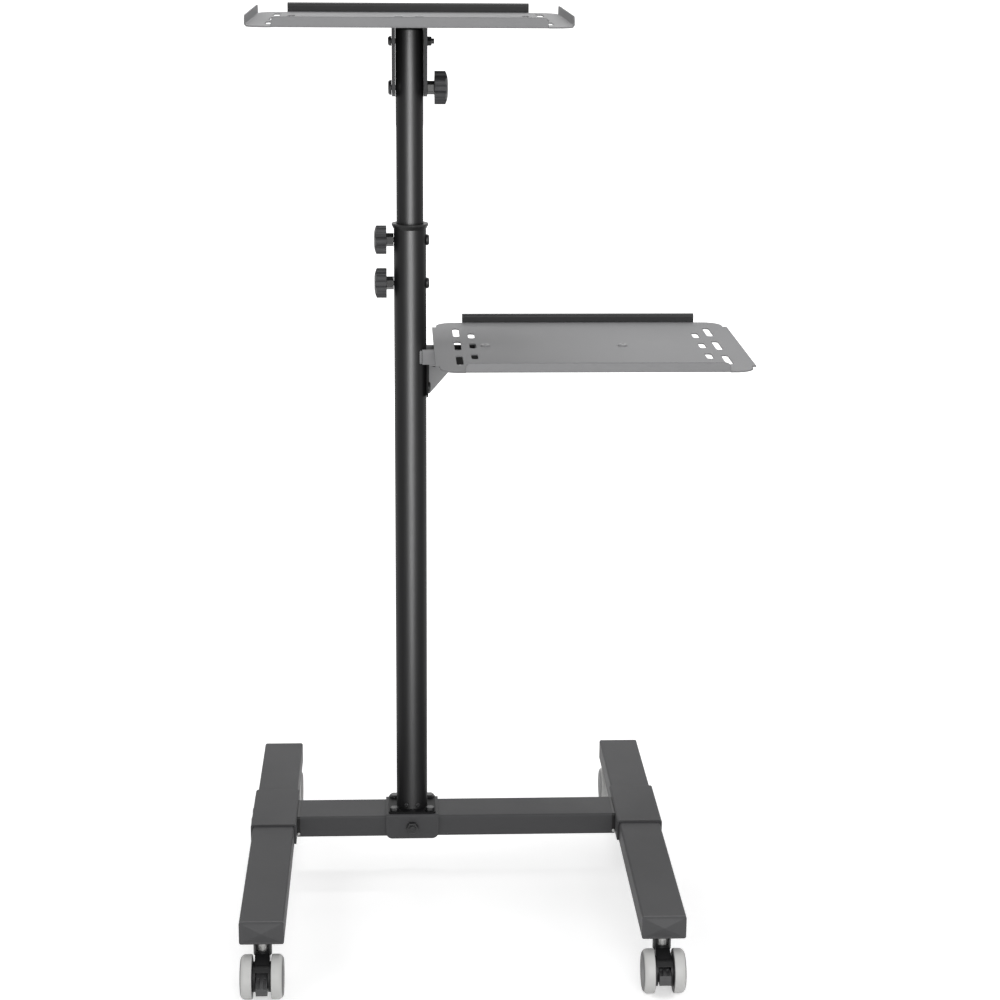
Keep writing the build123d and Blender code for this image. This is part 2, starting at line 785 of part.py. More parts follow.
def build_rail(x, z):
    with BuildPart() as rail:
        straight = rail_height - rail_thickness / 2
        slit_depth = back_lip_height - rail_rise + running_gap
        slit_offset = (rail_inner_leg - rail_outer_leg) / 2
        middle = (tray_depth - tray_sheet) / 2 - slit_offset
        with BuildSketch(facing_side(x - rail_length / 2, middle, z + rail_rise)):
            with Locations((0, straight / 2)):
                Rectangle(rail_thickness, straight)
            with Locations((0, straight)):
                Circle(rail_thickness / 2)
            with Locations((slit_offset, slit_depth / 2)):
                Rectangle(rail_slit, slit_depth, mode=Mode.SUBTRACT)
        extrude(amount=rail_length)
    return rail.part


keep("top_tray_rail", build_rail(0, top_tray_height))
keep("lower_tray_rail", build_rail(shelf_tray_offset, shelf_tray_height))


# Screws that hold the top tray on its bracket
top_tray_screws = [tray_screw(x, y, top_tray_height, bracket_sheet) for x, y in tray_screw_places]
gather("top_tray_screws", top_tray_screws)


# Shelf arm: a channel open at the top, with two nut bars, welded to the mast
arm_width = 30.0
arm_wall = 2.0
arm_past_screw = 10.0
arm_length = shelf_tray_offset + shelf_screw_places[-1] + arm_past_screw
nut_bar_length = 24.0
nut_bar_height = 6.0
brace_arm_screw_out = 12.0
brace_arm_screw_x = mast_radius + brace_arm_screw_out

with BuildPart() as shelf_arm:
    with BuildSketch(facing_side(0, 0, arm_bottom)):
        with Locations((0, arm_height / 2)):
            Rectangle(arm_width, arm_height)
        with Locations((0, arm_wall + arm_height / 2)):
            Rectangle(arm_width - 2 * arm_wall, arm_height, mode=Mode.SUBTRACT)
    extrude(amount=arm_length)
    for place in shelf_screw_places:
        bar_top = level(shelf_tray_offset + place, 0, shelf_tray_height)
        with BuildSketch(bar_top):
            Rectangle(nut_bar_length, arm_width - 2 * arm_wall)
        extrude(amount=-nut_bar_height)
        bore(bar_top, m6 + 2 * running_gap, nut_bar_height)
    bore(level(0, 0, shelf_tray_height), mast_diameter, arm_height)
    bore(level(brace_arm_screw_x, 0, arm_bottom + arm_wall), m5 + 2 * running_gap, arm_wall)
keep("shelf_arm", shelf_arm.part)

shelf_screws = [
    tray_screw(shelf_tray_offset + place, 0, shelf_tray_height, nut_bar_height)
    for place in shelf_screw_places
]
gather("shelf_screws", shelf_screws)


# Shelf brace: an upright strap on the mast, a flange under the arm and a web at the rear
brace_width = 24.0
brace_sheet = 2.0
brace_reach = 37.0
brace_tip = 2.0
brace_head = 12.5
brace_head_height = 3.0
brace_screw_reach = 0.8
mast_screw_seat = facing_side(mast_radius + brace_sheet, 0, brace_screw_height)
arm_screw_seat = underside(brace_arm_screw_x, 0, arm_bottom - brace_sheet)

with BuildPart() as shelf_brace:
    with BuildSketch(level(mast_radius, 0, arm_bottom)):
        with Locations((brace_sheet / 2, 0)):
            Rectangle(brace_sheet, brace_width)
    extrude(amount=-brace_drop)
    with BuildSketch(level(mast_radius, 0, arm_bottom)):
        with Locations((brace_reach / 2, 0)):
            Rectangle(brace_reach, brace_width)
    extrude(amount=-brace_sheet)
    with BuildSketch(facing_end(mast_radius, brace_width / 2, arm_bottom)):
        with BuildLine():
            Polyline(
                (0, 0),
                (brace_reach, 0),
                (brace_reach, -brace_sheet),
                (brace_sheet + brace_tip, -brace_drop),
                (0, -brace_drop),
                close=True,
            )
        make_face()
    extrude(amount=brace_sheet)
    bore(mast_screw_seat, m5 + 2 * fit_gap, brace_sheet)
    bore(arm_screw_seat, m5 + 2 * fit_gap, brace_sheet)
keep("shelf_brace", shelf_brace.part)

mast_screw_length = brace_sheet + mast_wall + brace_screw_reach
arm_screw_length = brace_sheet + arm_wall + brace_screw_reach
gather(
    "brace_screws",
    [
        round_screw(mast_screw_seat, m5, mast_screw_length, brace_head_height, brace_head, m5_socket),
        round_screw(arm_screw_seat, m5, arm_screw_length, brace_head_height, brace_head, m5_socket),
    ],
)


# Casters: twin wheels on each side of a fork, drawn about the stem and trailing to the front
axle_diameter = 6.0
fork_width = 20.2
wheel_side_gap = 0.5
neck_width = 16.3
fork_radius = 17.0
housing_radius = 10.4
housing_gap = 7.0
housing_height = 13.0
collar_radius = 7.8
collar_depth = 7.5
notch_width = 13.0
notch_depth = 6.5
shaft_diameter = 9.0
shaft_length = 8.5
stem_end_gap = 0.5
tyre_round = 6.0
tyre_inner_round = 1.5
tyre_band = 8.5
cap_groove = 1.2
cap_dome = 1.0
cap_flat_radius = 4.0
axle_cover = 2.6
pedal_width = 13.0
pedal_gap = 0.5
pedal_hub_radius = 6.5
pedal_reach = 23.0
pedal_rise = 6.0
pedal_rib = 4.0
pedal_pocket_depth = 1.2
pedal_angles = {"left": 26.0, "right": 4.0}
wheel_radius = wheel_diameter / 2
cap_radius = wheel_radius - tyre_band
wheel_gap = fork_width + 2 * wheel_side_gap
housing_top = caster_height - housing_gap
housing_bottom = housing_top - housing_height
collar_bottom = housing_top - collar_depth
notch_bottom = housing_top - notch_depth
shaft_bottom = collar_bottom - shaft_length
axle_place = (0, -caster_trail, wheel_radius)
axle_reach = wheel_gap / 2 + wheel_width - axle_cover - moving_gap

# Side outline of the fork's neck, in shares of the fork's and the housing's radius
neck_front_share = 0.5
neck_front_level_share = 0.85
neck_rear_share = 0.7
neck_lower_level_share = 0.55
body_rear_share = 0.75
body_rear_level_share = 0.6


def across_axle(width):
    """The side view plane at the axle, moved left so that an extrusion of the width is centred."""
    return facing_side(-width / 2, -caster_trail, wheel_radius)


def build_stem():
    """The stem: a thread in the foot, a collar under it and a shaft in the fork."""
    with BuildPart() as stem:
        with BuildSketch(level(0, 0, caster_height)):
            Circle(stem_diameter / 2)
        extrude(amount=tube_wall + weld_nut_height)
        chamfer(stem.faces().sort_by(Axis.Z)[-1].edges(), stem_end_gap)
        with BuildSketch(level(0, 0, collar_bottom)):
            Circle(collar_radius)
        extrude(amount=caster_height - collar_bottom)
        with BuildSketch(level(0, 0, shaft_bottom)):
            Circle(shaft_diameter / 2)
        extrude(amount=collar_bottom - shaft_bottom)
    return stem.part


def build_fork(has_pedal):
    """The fork: a round body on the axle, a neck and a housing round the stem."""
    neck_level = housing_bottom - wheel_radius
    with BuildPart() as fork:
        with BuildSketch(across_axle(fork_width)):
            Circle(fork_radius)
        extrude(amount=fork_width)
        with BuildSketch(across_axle(neck_width)):
            with BuildLine():
                Polyline(
                    (-fork_radius * neck_front_share, fork_radius * neck_front_level_share),
                    (caster_trail - housing_radius, neck_level + overrun),
                    (caster_trail + housing_radius * neck_rear_share, neck_level + overrun),
                    (caster_trail + housing_radius * neck_rear_share, neck_level * neck_lower_level_share),
                    (fork_radius * body_rear_share, -fork_radius * body_rear_level_share),
                    (0, 0),
                    close=True,
                )
            make_face()
        extrude(amount=neck_width)
        with BuildSketch(level(0, 0, housing_bottom)):
            Circle(housing_radius)
        extrude(amount=housing_top - housing_bottom)
        collar_room = housing_top - collar_bottom + moving_gap
        shaft_room = housing_top - shaft_bottom + stem_end_gap
        bore(level(0, 0, housing_top), 2 * (collar_radius + moving_gap), collar_room)
        bore(level(0, 0, housing_top), shaft_diameter + 2 * running_gap, shaft_room)
        with BuildSketch(level(0, -housing_radius, notch_bottom)):
            Rectangle(notch_width, housing_radius)
        extrude(amount=housing_top - notch_bottom, mode=Mode.SUBTRACT)
        with BuildSketch(across_axle(fork_width)):
            Circle(axle_diameter / 2 + running_gap / 2)
        extrude(amount=fork_width, mode=Mode.SUBTRACT)
        if has_pedal:
            cut_width = pedal_width + 2 * pedal_gap
            cut_radius = pedal_hub_radius + pedal_gap
            with BuildSketch(across_axle(cut_width)):
                Circle(cut_radius)
                with BuildLine():
                    Polyline(
                        (0, cut_radius),
                        (-2 * fork_radius, fork_radius),
                        (-2 * fork_radius, -2 * fork_radius),
                        (cut_radius, -2 * fork_radius),
                        (cut_radius, 0),
                        close=True,
                    )
                make_face()
            extrude(amount=cut_width, mode=Mode.SUBTRACT)
    return fork.part


def build_axle():
    """The axle: fixed in the fork, with a wheel on each end."""
    with BuildPart() as axle:
        with BuildSketch(across_axle(2 * axle_reach)):
            Circle(axle_diameter / 2)
        extrude(amount=2 * axle_reach)
    return axle.part


def build_wheel(sign):
    """A wheel on one side of the fork: a rounded tyre and a domed cap with a groove round it."""
    inner = wheel_gap / 2
    outer = inner + wheel_width
    bore_radius = axle_diameter / 2 + running_gap
    cap_level = outer - cap_dome
    with BuildPart() as wheel:
        with BuildSketch(Plane(origin=axle_place, x_dir=(sign, 0, 0), z_dir=(0, -sign, 0))) as section:
            with BuildLine():
                Polyline(
                    (outer, cap_flat_radius),
                    (outer, 0),
                    (outer - axle_cover, 0),
                    (outer - axle_cover, bore_radius),
                    (inner, bore_radius),
                    (inner, wheel_radius),
                    (outer, wheel_radius),
                    (outer, cap_radius + cap_groove),
                    (cap_level - cap_groove, cap_radius + cap_groove),
                    (cap_level - cap_groove, cap_radius),
                    (cap_level, cap_radius),
                )
                TangentArc((outer, cap_flat_radius), (cap_level, cap_radius), tangent=(0, 1))
            make_face()
            fillet(section.vertices().sort_by_distance((outer, wheel_radius))[0], tyre_round)
            fillet(section.vertices().sort_by_distance((inner, wheel_radius))[0], tyre_inner_round)
        revolve(axis=Axis(axle_place, (1, 0, 0)))
    return wheel.part


def build_pedal(angle):
    """A brake pedal round the axle, in the fork's slit, with its tip lowered by an angle."""
    back = Vector(0, cos(radians(angle)), sin(radians(angle)))
    rest = Plane(origin=(-pedal_width / 2, -caster_trail, wheel_radius), x_dir=back, z_dir=(1, 0, 0))
    top = Plane(origin=rest.origin + rest.y_dir * pedal_hub_radius, x_dir=rest.x_dir, z_dir=rest.y_dir)
    pocket_width = (pedal_width - pedal_rib) / 2 - pedal_pocket_depth
    pocket_length = pedal_reach - pedal_hub_radius - 2 * pedal_pocket_depth
    pocket_middle = -pedal_reach + pedal_pocket_depth + pocket_length / 2
    with BuildPart() as pedal:
        with BuildSketch(rest):
            Circle(pedal_hub_radius)
            with BuildLine():
                Polyline(
                    (0, pedal_hub_radius),
                    (-pedal_reach + pedal_gap, pedal_rise),
                    (-pedal_reach, 0),
                    (-pedal_reach + pedal_gap, -pedal_rise),
                    (0, -pedal_hub_radius),
                    close=True,
                )
            make_face()
            Circle(axle_diameter / 2 + running_gap, mode=Mode.SUBTRACT)
        extrude(amount=pedal_width)
        for sign in (-1, 1):
            across = pedal_width / 2 + sign * (pedal_rib + pocket_width) / 2
            with BuildSketch(top):
                with Locations((pocket_middle, -across)):
                    RectangleRounded(pocket_length, pocket_width, pedal_pocket_depth)
            extrude(amount=-2 * pedal_pocket_depth, mode=Mode.SUBTRACT)
    return pedal.part


for end, stem_y in stem_places.items():
    for side, foot_x in foot_places.items():
        caster = f"caster_{end}_{side}"
        trails_back = end == "rear"
        place = Location((foot_x, stem_y, 0), (0, 0, 180 if trails_back else 0))
        keep(f"{caster}_stem", build_stem().moved(place))
        keep(f"{caster}_fork", build_fork(end == "front").moved(place))
        keep(f"{caster}_axle", build_axle().moved(place))
        for wheel_side, sign in side_signs.items():
            wheel = build_wheel(-sign if trails_back else sign)
            keep(f"{caster}_wheel_{wheel_side}", wheel.moved(place))
        if end == "front":
            keep(f"{caster}_pedal", build_pedal(pedal_angles[side]).moved(place))


# The origin: the bottom centre of the whole
whole = Compound(list(nodes.values())).bounding_box()
shift = Vector(-whole.center().X, -whole.center().Y, -whole.min.Z)
print(f"origin moved by {shift.X:.4f} {shift.Y:.4f} {shift.Z:.4f}, size {whole.size}")

os.makedirs("parts", exist_ok=True)
for name, shape in nodes.items():
    placed = shape.moved(Location(shift))
    placed.label = name
    export_step(placed, f"parts/{name}.step")
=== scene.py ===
import json
from math import cos, pi, sin, sqrt

import bmesh
import bpy
from mathutils import Matrix, Vector


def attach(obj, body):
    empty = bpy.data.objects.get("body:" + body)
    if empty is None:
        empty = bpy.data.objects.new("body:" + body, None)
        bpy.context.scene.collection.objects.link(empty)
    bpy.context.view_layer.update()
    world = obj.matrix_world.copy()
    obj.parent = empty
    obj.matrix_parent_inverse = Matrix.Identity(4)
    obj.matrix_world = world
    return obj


# Audio visual cart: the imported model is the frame, in metres, and this script dresses it.
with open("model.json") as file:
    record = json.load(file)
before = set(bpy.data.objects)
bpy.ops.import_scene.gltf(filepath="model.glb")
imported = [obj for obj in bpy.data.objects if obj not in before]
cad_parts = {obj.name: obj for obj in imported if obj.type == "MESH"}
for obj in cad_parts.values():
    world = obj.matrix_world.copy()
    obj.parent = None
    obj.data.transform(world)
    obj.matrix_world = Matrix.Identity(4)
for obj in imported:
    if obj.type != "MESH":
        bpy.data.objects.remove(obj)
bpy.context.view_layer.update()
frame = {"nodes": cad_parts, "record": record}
nodes = frame["nodes"]
record = frame["record"]
MM = 0.001

# The mast's axis on the floor, in the row frame
MAST_X = -97.1 * MM
MAST_Y = 49.0 * MM


def mast_point(x, y, z):
    """A point given in millimetres about the mast's foot, in the row frame."""
    return Vector((MAST_X + x * MM, MAST_Y + y * MM, z * MM))


# Materials
BEVEL_SAMPLES = 6
FINE_BUMP = 0.25 * MM
SMOOTH_BUMP = 0.2 * MM
PLATING_BUMP = 0.1 * MM
EDGE_RADIUS = 0.7 * MM
WHEEL_EDGE_RADIUS = 0.6 * MM
ZINC_EDGE_RADIUS = 0.4 * MM
TRAY_EDGE_RADIUS = 1.2 * MM
KNOB_HUB_REACH = 28.0 * MM


class Tree:
    """A material and short calls for its nodes."""

    def __init__(self, name):
        self.material = bpy.data.materials.new(name)
        self.material.use_nodes = True
        self.nodes = self.material.node_tree.nodes
        self.links = self.material.node_tree.links
        self.shader = self.nodes["Principled BSDF"]
        self.coordinates = self.nodes.new("ShaderNodeTexCoord").outputs
        self.place = self.coordinates["Object"]

    def link(self, source, target):
        self.links.new(source, target)

    def stretched(self, scale):
        """The object's own coordinates, stretched along its axes."""
        mapping = self.nodes.new("ShaderNodeMapping")
        mapping.inputs["Scale"].default_value = scale
        self.link(self.place, mapping.inputs["Vector"])
        return mapping.outputs["Vector"]

    def noise(self, scale, detail=2.0, roughness=0.5, place=None):
        node = self.nodes.new("ShaderNodeTexNoise")
        node.inputs["Scale"].default_value = scale
        node.inputs["Detail"].default_value = detail
        node.inputs["Roughness"].default_value = roughness
        self.link(place or self.place, node.inputs["Vector"])
        return node.outputs["Fac"]

    def ramp(self, value, low, high, low_value=0.0, high_value=1.0):
        node = self.nodes.new("ShaderNodeMapRange")
        node.inputs["From Min"].default_value = low
        node.inputs["From Max"].default_value = high
        node.inputs["To Min"].default_value = low_value
        node.inputs["To Max"].default_value = high_value
        self.link(value, node.inputs["Value"])
        return node.outputs["Result"]

    def math(self, operation, a, b):
        node = self.nodes.new("ShaderNodeMath")
        node.operation = operation
        for socket, value in zip(node.inputs, (a, b)):
            if isinstance(value, (int, float)):
                socket.default_value = value
            else:
                self.link(value, socket)
        return node.outputs["Value"]

    def part(self, vector, axis):
        node = self.nodes.new("ShaderNodeSeparateXYZ")
        self.link(vector, node.inputs["Vector"])
        return node.outputs[axis]

    def beyond(self, centre, half, soft=0.3 * MM):
        """A mask that is 0 within half of a centre along X and 1 outside."""
        offset = self.math("SUBTRACT", self.part(self.place, "X"), centre)
        return self.ramp(self.math("ABSOLUTE", offset, 0.0), half - soft, half + soft)

    def mix(self, factor, a, b):
        node = self.nodes.new("ShaderNodeMix")
        node.data_type = "RGBA"
        self.link(factor, node.inputs["Factor"])
        for socket, value in ((node.inputs["A"], a), (node.inputs["B"], b)):
            if isinstance(value, tuple):
                socket.default_value = (*value, 1.0)
            else:
                self.link(value, socket)
        return node.outputs["Result"]

    def edges(self, radius):
        """A mask that is 0 on flat faces and rises along edges: the skins tint it lighter as wear and a
        painted highlight, the trays darker as a painted shade.
        """
        bevel = self.nodes.new("ShaderNodeBevel")
        bevel.samples = BEVEL_SAMPLES
        bevel.inputs["Radius"].default_value = radius
        geometry = self.nodes.new("ShaderNodeNewGeometry")
        dot = self.nodes.new("ShaderNodeVectorMath")
        dot.operation = "DOT_PRODUCT"
        self.link(bevel.outputs["Normal"], dot.inputs[0])
        self.link(geometry.outputs["Normal"], dot.inputs[1])
        return bevel.outputs["Normal"], self.ramp(dot.outputs["Value"], 0.99, 0.75)

    def bump(self, height, strength, distance, normal=None):
        node = self.nodes.new("ShaderNodeBump")
        node.inputs["Strength"].default_value = strength
        node.inputs["Distance"].default_value = distance
        self.link(height, node.inputs["Height"])
        if normal is not None:
            self.link(normal, node.inputs["Normal"])
        return node.outputs["Normal"]

    def set(self, **values):
        for name, value in values.items():
            socket = self.shader.inputs[name.replace("_", " ")]
            if isinstance(value, tuple):
                socket.default_value = (*value, 1.0)
            elif isinstance(value, (int, float)):
                socket.default_value = value
            else:
                self.link(value, socket)


DARK = (0.006, 0.006, 0.006)
WHEEL_CAP = (0.11, 0.11, 0.112)


def tinted(color, factor):
    return tuple(channel * factor for channel in color)


def coated(
    name, color, roughness, grain, peel, edge=0.5, spread=0.12, specular=0.5,
    edge_wear_and_painted_light_tint=1.8, edge_radius=EDGE_RADIUS, dark_beyond=None,
):
    """Painted or moulded skin: fine grain, slow patches of tone, and edges in another tone: a tint above 1 is
    wear with a painted highlight, below 1 a painted shade.

    dark_beyond is a centre and a half width along X, outside which the skin is near black.
    """
    tree = Tree(name)
    fine = tree.noise(grain, 3.0, 0.6)
    slow = tree.noise(9.0, 3.0, 0.55)
    edge_normal, edge_mask = tree.edges(edge_radius)
    tone = tree.mix(tree.ramp(fine, 0.3, 0.7), tinted(color, 1 - spread), tinted(color, 1 + spread))
    patch = tree.mix(tree.ramp(slow, 0.35, 0.65), tone, tinted(color, 1.06))
    # Edges tinted: above 1, wear with a painted highlight; below 1, a painted shade
    edge_wear_and_painted_light = tree.mix(tree.math("MULTIPLY", edge_mask, edge), patch, tinted(color, edge_wear_and_painted_light_tint))
    if dark_beyond is not None:
        edge_wear_and_painted_light = tree.mix(tree.beyond(*dark_beyond), edge_wear_and_painted_light, DARK)
    matte = tree.ramp(slow, 0.3, 0.7, roughness - 0.04, roughness + 0.05)
    tree.set(
        Base_Color=edge_wear_and_painted_light,
        Roughness=matte,
        Normal=tree.bump(fine, peel, FINE_BUMP, edge_normal),
        Specular_IOR_Level=specular,
    )
    return tree.material


def tube_gloss(name, color):
    """Gloss black tube: a faint drawn grain along the tube, and the slightest orange peel."""
    tree = Tree(name)
    drawn = tree.noise(60.0, 3.0, 0.6, tree.stretched((8.0, 8.0, 0.25)))
    peel = tree.noise(700.0, 2.0, 0.5)
    tone = tree.mix(tree.ramp(drawn, 0.3, 0.7), tinted(color, 0.85), tinted(color, 1.2))
    tree.set(
        Base_Color=tone,
        Roughness=tree.ramp(drawn, 0.3, 0.7, 0.43, 0.48),
        Normal=tree.bump(peel, 0.06, SMOOTH_BUMP),
        Specular_IOR_Level=0.13,
    )
    return tree.material


def knob_skin(name, color):
    """Textured knob with a smooth, glossy hub towards the mast."""
    tree = Tree(name)
    grain = tree.noise(1100.0, 3.0, 0.6)
    worn = tree.noise(60.0, 3.0, 0.55)
    edge_normal, edge_mask = tree.edges(EDGE_RADIUS)
    body = tree.beyond(MAST_X, KNOB_HUB_REACH)
    tone = tree.mix(tree.ramp(grain, 0.3, 0.7), tinted(color, 0.75), tinted(color, 1.25))
    # Lighter edges: wear with a painted highlight
    edge_wear_and_painted_light = tree.mix(tree.math("MULTIPLY", edge_mask, 0.6), tone, tinted(color, 1.8))
    matte = tree.ramp(worn, 0.3, 0.7, 0.5, 0.6)
    tree.set(
        Base_Color=tree.mix(body, DARK, edge_wear_and_painted_light),
        Roughness=tree.math("MULTIPLY", matte, tree.ramp(body, 0.0, 1.0, 0.4, 1.0)),
        Normal=tree.bump(tree.math("MULTIPLY", grain, body), 0.7, FINE_BUMP, edge_normal),
        Specular_IOR_Level=0.45,
    )
    return tree.material


def zinc(name, color, roughness):
    """Zinc-plated steel: clouded plating with turned marks."""
    tree = Tree(name)
    cloud = tree.noise(260.0, 4.0, 0.6)
    turned = tree.noise(900.0, 2.0, 0.5, tree.stretched((1.0, 1.0, 6.0)))
    edge_normal, edge_mask = tree.edges(ZINC_EDGE_RADIUS)
    tone = tree.mix(tree.ramp(cloud, 0.3, 0.7), tinted(color, 0.75), tinted(color, 1.15))
    tree.set(
        # Lighter edges: wear with a painted highlight
        Base_Color=tree.mix(tree.math("MULTIPLY", edge_mask, 0.4), tone, tinted(color, 1.3)),
        Metallic=0.9,
        Roughness=tree.ramp(cloud, 0.3, 0.7, roughness - 0.08, roughness + 0.1),
        Normal=tree.bump(turned, 0.1, PLATING_BUMP, edge_normal),
    )
    return tree.material


def wheel_plastic(name, color):
    """Light grey wheels: satin moulding, dusty tread, and dark grey caps on the sides."""
    tree = Tree(name)
    fine = tree.noise(800.0, 3.0, 0.6)
    scuff = tree.noise(40.0, 3.0, 0.55)
    edge_normal, edge_mask = tree.edges(WHEEL_EDGE_RADIUS)
    tone = tree.mix(tree.ramp(scuff, 0.4, 0.7), color, tinted(color, 0.93))
    sideways = tree.math("ABSOLUTE", tree.part(tree.coordinates["Normal"], "X"), 0.0)
    cap = tree.ramp(sideways, 0.7, 0.9)
    # Lighter edges: wear with a painted highlight
    tread = tree.mix(tree.math("MULTIPLY", edge_mask, 0.25), tone, tinted(color, 1.2))
    tree.set(
        Base_Color=tree.mix(cap, tread, WHEEL_CAP),
        Roughness=tree.ramp(scuff, 0.3, 0.7, 0.42, 0.6),
        Normal=tree.bump(fine, 0.12, SMOOTH_BUMP, edge_normal),
        Specular_IOR_Level=0.45,
    )
    return tree.material


BASE_SKIN = ((0.058, 0.058, 0.06), 0.55, 2600.0, 0.25)
TRAY_SKIN = ((0.25, 0.25, 0.255), 0.6, 2400.0, 0.25)
# The tray paint made lighter for the shelf's brace: painted light that makes up for the shade on its web
# under the tray
BRACE_SKIN_PAINTED_LIGHT = ((0.36, 0.36, 0.365), 0.6, 2400.0, 0.25)
# Edge tint below 1 on the trays and the arm: a painted shade along lips and bends
TRAY_LOOK = dict(edge=0.8, spread=0.06, specular=0.2, edge_wear_and_painted_light_tint=0.35, edge_radius=TRAY_EDGE_RADIUS)
MATERIALS = {
    "base_paint": coated("base_paint", *BASE_SKIN, specular=0.2),
    "mast_gloss_black": tube_gloss("mast_gloss_black", (0.003, 0.003, 0.0034)),
    "tray_paint": coated("tray_paint", *TRAY_SKIN, **TRAY_LOOK),
    "bracket_paint": coated("bracket_paint", (0.052, 0.052, 0.054), 0.55, 2400.0, 0.25, specular=0.25),
    "cap_plastic": coated("cap_plastic", (0.04, 0.04, 0.042), 0.5, 1500.0, 0.3, edge=0.3),
    "bush_plastic": coated("bush_plastic", (0.01, 0.01, 0.01), 0.42, 1500.0, 0.15, edge=0.3, specular=0.3),
    "edging_black": coated("edging_black", (0.025, 0.025, 0.026), 0.45, 1200.0, 0.15, edge=0.2, specular=0.3),
    "knob_plastic": knob_skin("knob_plastic", (0.036, 0.036, 0.038)),
    "caster_black": coated("caster_black", (0.006, 0.006, 0.0065), 0.4, 1400.0, 0.3, edge=0.5, specular=0.3),
    "pedal_grey": coated("pedal_grey", (0.06, 0.06, 0.062), 0.5, 1200.0, 0.3),
    "black_steel": coated("black_steel", (0.01, 0.01, 0.011), 0.35, 1800.0, 0.1, edge=0.7),
    "tray_screw_paint": coated("tray_screw_paint", (0.26, 0.26, 0.265), 0.42, 2000.0, 0.1),
    "zinc_steel": zinc("zinc_steel", (0.5, 0.5, 0.49), 0.42),
    "wheel_grey": wheel_plastic("wheel_grey", (0.56, 0.56, 0.55)),
}

# Nodes with a near-black part: the crossbar's end blocks, the strap of the shelf's brace, and, as a painted
# shade, the shelf's arm where the tray covers it
CROSSBAR_OFFSET = 55.0
CROSSBAR_MIDDLE = MAST_X + CROSSBAR_OFFSET * MM
CROSSBAR_TUBE_HALF = 193.8 * MM
BRACE_WEB_MIDDLE = MAST_X + 42.2 * MM
BRACE_WEB_HALF = 20.0 * MM
# The end of the shelf's arm by the mast; beyond it the arm gets a painted shade where the tray covers it
ARM_UNSHADED_MIDDLE = MAST_X + 24.0 * MM
ARM_UNSHADED_HALF = 10.0 * MM
OWN_MATERIALS = {
    "crossbar": coated(
        "base_paint_crossbar", *BASE_SKIN, specular=0.2, dark_beyond=(CROSSBAR_MIDDLE, CROSSBAR_TUBE_HALF)
    ),
    "shelf_brace": coated(
        "tray_paint_brace_painted_light", *BRACE_SKIN_PAINTED_LIGHT, specular=0.2, dark_beyond=(BRACE_WEB_MIDDLE, BRACE_WEB_HALF)
    ),
    # Near black beyond the arm's end by the mast: a painted shade under the tray
    "shelf_arm": coated(
        "tray_paint_arm_painted_shade", *TRAY_SKIN, **TRAY_LOOK, dark_beyond=(ARM_UNSHADED_MIDDLE, ARM_UNSHADED_HALF)
    ),
}

for subpart in record["subparts"]:
    node = subpart["node"]
    dressed = nodes[node]
    dressed.data.materials.clear()
    dressed.data.materials.append(OWN_MATERIALS.get(node) or MATERIALS[subpart["material_slot"]])


# New pieces
def new_piece(name, mesh, body, slot):
    piece = bpy.data.objects.new(name, mesh)
    bpy.context.scene.collection.objects.link(piece)
    piece.data.materials.append(MATERIALS[slot])
    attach(piece, body)
    return piece


def bridge(mesh, rings):
    """Faces between rings of as many points each, in their order."""
    count = len(rings[0])
    for a, b in zip(rings, rings[1:]):
        for k in range(count):
            mesh.faces.new((a[k], a[(k + 1) % count], b[(k + 1) % count], b[k]))


def finished(name, mesh, body, slot):
    """The bmesh as a new piece, with its normals outward."""
    bmesh.ops.recalc_face_normals(mesh, faces=mesh.faces)
    data = bpy.data.meshes.new(name)
    mesh.to_mesh(data)
    mesh.free()
    return new_piece(name, data, body, slot)


def weld_bead(name, path, radius, body, slot, ripple=2.2 * MM, ring=10):
    """A rippled weld bead along a path of points."""
    lengths = [0.0]
    for a, b in zip(path, path[1:]):
        lengths.append(lengths[-1] + (b - a).length)
    steps = max(8, int(lengths[-1] / (ripple / 5)))
    mesh = bmesh.new()
    rings = []
    for step in range(steps + 1):
        along = lengths[-1] * step / steps
        leg = max(i for i in range(len(path) - 1) if lengths[i] <= along + 1e-9)
        a, b = path[leg], path[leg + 1]
        tangent = (b - a).normalized()
        middle = a + tangent * (along - lengths[leg])
        side = tangent.orthogonal().normalized()
        other = tangent.cross(side)
        end = min(1.0, sqrt(max(0.0, min(along, lengths[-1] - along)) / radius) + 0.25)
        size = radius * end * (1 + 0.12 * sin(2 * pi * along / ripple))
        points = []
        for k in range(ring):
            angle = 2 * pi * k / ring
            points.append(mesh.verts.new(middle + (side * cos(angle) + other * sin(angle)) * size))
        rings.append(points)
    bridge(mesh, rings)
    mesh.faces.new(list(reversed(rings[0])))
    mesh.faces.new(rings[-1])
    for face in mesh.faces:
        face.smooth = True
    return finished(name, mesh, body, slot)


# Weld beads where the shelf's arm meets the mast, on both its sides
ARM_HALF = 15.0
MAST_RADIUS = 19.0
WELD_HEIGHTS = (659.0, 667.0, 675.0)
WELD_RADIUS = 1.5 * MM
WELD_OUT = 0.4
WELD_ASIDE = 0.2
arm_foot_x = sqrt(MAST_RADIUS**2 - ARM_HALF**2)
for side, sign in (("front", -1), ("rear", 1)):
    bead = [mast_point(arm_foot_x + WELD_OUT, sign * (ARM_HALF + WELD_ASIDE), z) for z in WELD_HEIGHTS]
    weld_bead(f"arm_weld_{side}", bead, WELD_RADIUS, "base", "tray_paint")


def skinned(name, rings, body, slot):
    """A closed piece from rings of points that follow one another, the last joined to the first."""
    mesh = bmesh.new()
    loops = [[mesh.verts.new(point) for point in ring] for ring in rings]
    bridge(mesh, loops + loops[:1])
    return finished(name, mesh, body, slot)


